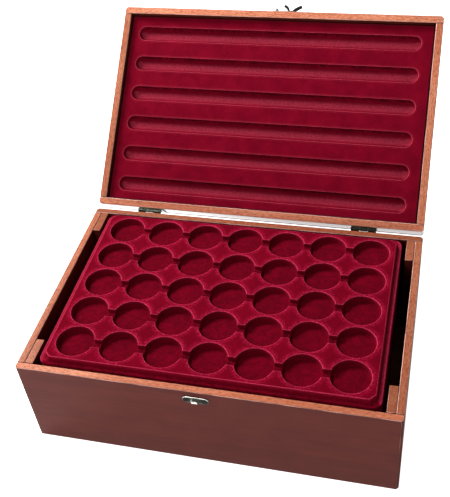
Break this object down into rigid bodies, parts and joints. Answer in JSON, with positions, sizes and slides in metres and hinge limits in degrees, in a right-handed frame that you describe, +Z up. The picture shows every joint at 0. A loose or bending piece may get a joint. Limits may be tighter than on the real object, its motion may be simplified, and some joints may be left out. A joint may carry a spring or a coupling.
{
  "type": "coin display tray case",
  "caption": "Hinged wooden case with a grooved flocked lid lining, holding a stack of flocked trays with round coin recesses.",
  "frame": {"origin": "centre of the underside of the case", "axes": "+Z up, +X to the right seen from the front, +Y from the front wall to the hinged back wall"},
  "size_m": [0.325, 0.3994, 0.2344],
  "materials": {
    "mahogany": "satin",
    "tray_flock": "matte",
    "lid_flock": "matte",
    "aged_metal": "satin",
    "screw_metal": "satin"
  },
  "bodies": {
    "case": {"back_wall": "mahogany", "bottom_panel": "mahogany", "catch_plate": "aged_metal", "catch_screw_left": "screw_metal", "catch_screw_right": "screw_metal", "catch_tab": "aged_metal", "corner_block_front_left": "mahogany", "corner_block_front_right": "mahogany", "corner_block_rear_left": "mahogany", "corner_block_rear_right": "mahogany", "front_wall": "mahogany", "hinge_leaf_case_left": "aged_metal", "hinge_leaf_case_right": "aged_metal", "hinge_pin_left": "aged_metal", "hinge_pin_right": "aged_metal", "hinge_screw_case_left_inner": "screw_metal", "hinge_screw_case_left_outer": "screw_metal", "hinge_screw_case_right_inner": "screw_metal", "hinge_screw_case_right_outer": "screw_metal", "left_wall": "mahogany", "right_wall": "mahogany"},
    "lid": {"hinge_leaf_lid_left": "aged_metal", "hinge_leaf_lid_right": "aged_metal", "hinge_screw_lid_left_inner": "screw_metal", "hinge_screw_lid_left_outer": "screw_metal", "hinge_screw_lid_right_inner": "screw_metal", "hinge_screw_lid_right_outer": "screw_metal", "latch_plate": "aged_metal", "latch_rivet": "screw_metal", "latch_screw_left": "screw_metal", "latch_screw_right": "screw_metal", "lid_back_rail": "mahogany", "lid_front_rail": "mahogany", "lid_insert": "lid_flock", "lid_left_rail": "mahogany", "lid_panel": "mahogany", "lid_right_rail": "mahogany"},
    "latch": {"latch_hook": "aged_metal"},
    "tray_01": {"coin_tray_01": "tray_flock"},
    "tray_02": {"coin_tray_02": "tray_flock"},
    "tray_03": {"coin_tray_03": "tray_flock"},
    "tray_04": {"coin_tray_04": "tray_flock"},
    "tray_05": {"coin_tray_05": "tray_flock"},
    "tray_06": {"coin_tray_06": "tray_flock"},
    "tray_07": {"coin_tray_07": "tray_flock"},
    "tray_08": {"coin_tray_08": "tray_flock"},
    "tray_09": {"coin_tray_09": "tray_flock"},
    "tray_10": {"coin_tray_10": "tray_flock"}
  },
  "joints": [
    {"name": "lid_hinge", "type": "hinge", "parent": "case", "child": "lid", "pos_m": [0, 0.108, 0.09555], "axis": [-1, 0, 0], "range_deg": [-140, 0]},
    {"name": "hook_pivot", "type": "hinge", "parent": "lid", "child": "latch", "pos_m": [-0.0034, 0.27601, 0.22732], "axis": [0, 0.766, 0.6428], "range_deg": [-90, 90]},
    {"name": "tray_01_lift", "type": "slide", "parent": "case", "child": "tray_01", "axis": [0, 0, 1], "range_m": [0, 0.0945]},
    {"name": "tray_02_lift", "type": "slide", "parent": "tray_01", "child": "tray_02", "axis": [0, 0, 1], "range_m": [0, 0.085]},
    {"name": "tray_03_lift", "type": "slide", "parent": "tray_02", "child": "tray_03", "axis": [0, 0, 1], "range_m": [0, 0.0755]},
    {"name": "tray_04_lift", "type": "slide", "parent": "tray_03", "child": "tray_04", "axis": [0, 0, 1], "range_m": [0, 0.066]},
    {"name": "tray_05_lift", "type": "slide", "parent": "tray_04", "child": "tray_05", "axis": [0, 0, 1], "range_m": [0, 0.0565]},
    {"name": "tray_06_lift", "type": "slide", "parent": "tray_05", "child": "tray_06", "axis": [0, 0, 1], "range_m": [0, 0.047]},
    {"name": "tray_07_lift", "type": "slide", "parent": "tray_06", "child": "tray_07", "axis": [0, 0, 1], "range_m": [0, 0.0375]},
    {"name": "tray_08_lift", "type": "slide", "parent": "tray_07", "child": "tray_08", "axis": [0, 0, 1], "range_m": [0, 0.028]},
    {"name": "tray_09_lift", "type": "slide", "parent": "tray_08", "child": "tray_09", "axis": [0, 0, 1], "range_m": [0, 0.0185]},
    {"name": "tray_10_lift", "type": "slide", "parent": "tray_09", "child": "tray_10", "axis": [0, 0, 1], "range_m": [0, 0.009]}
  ]
}
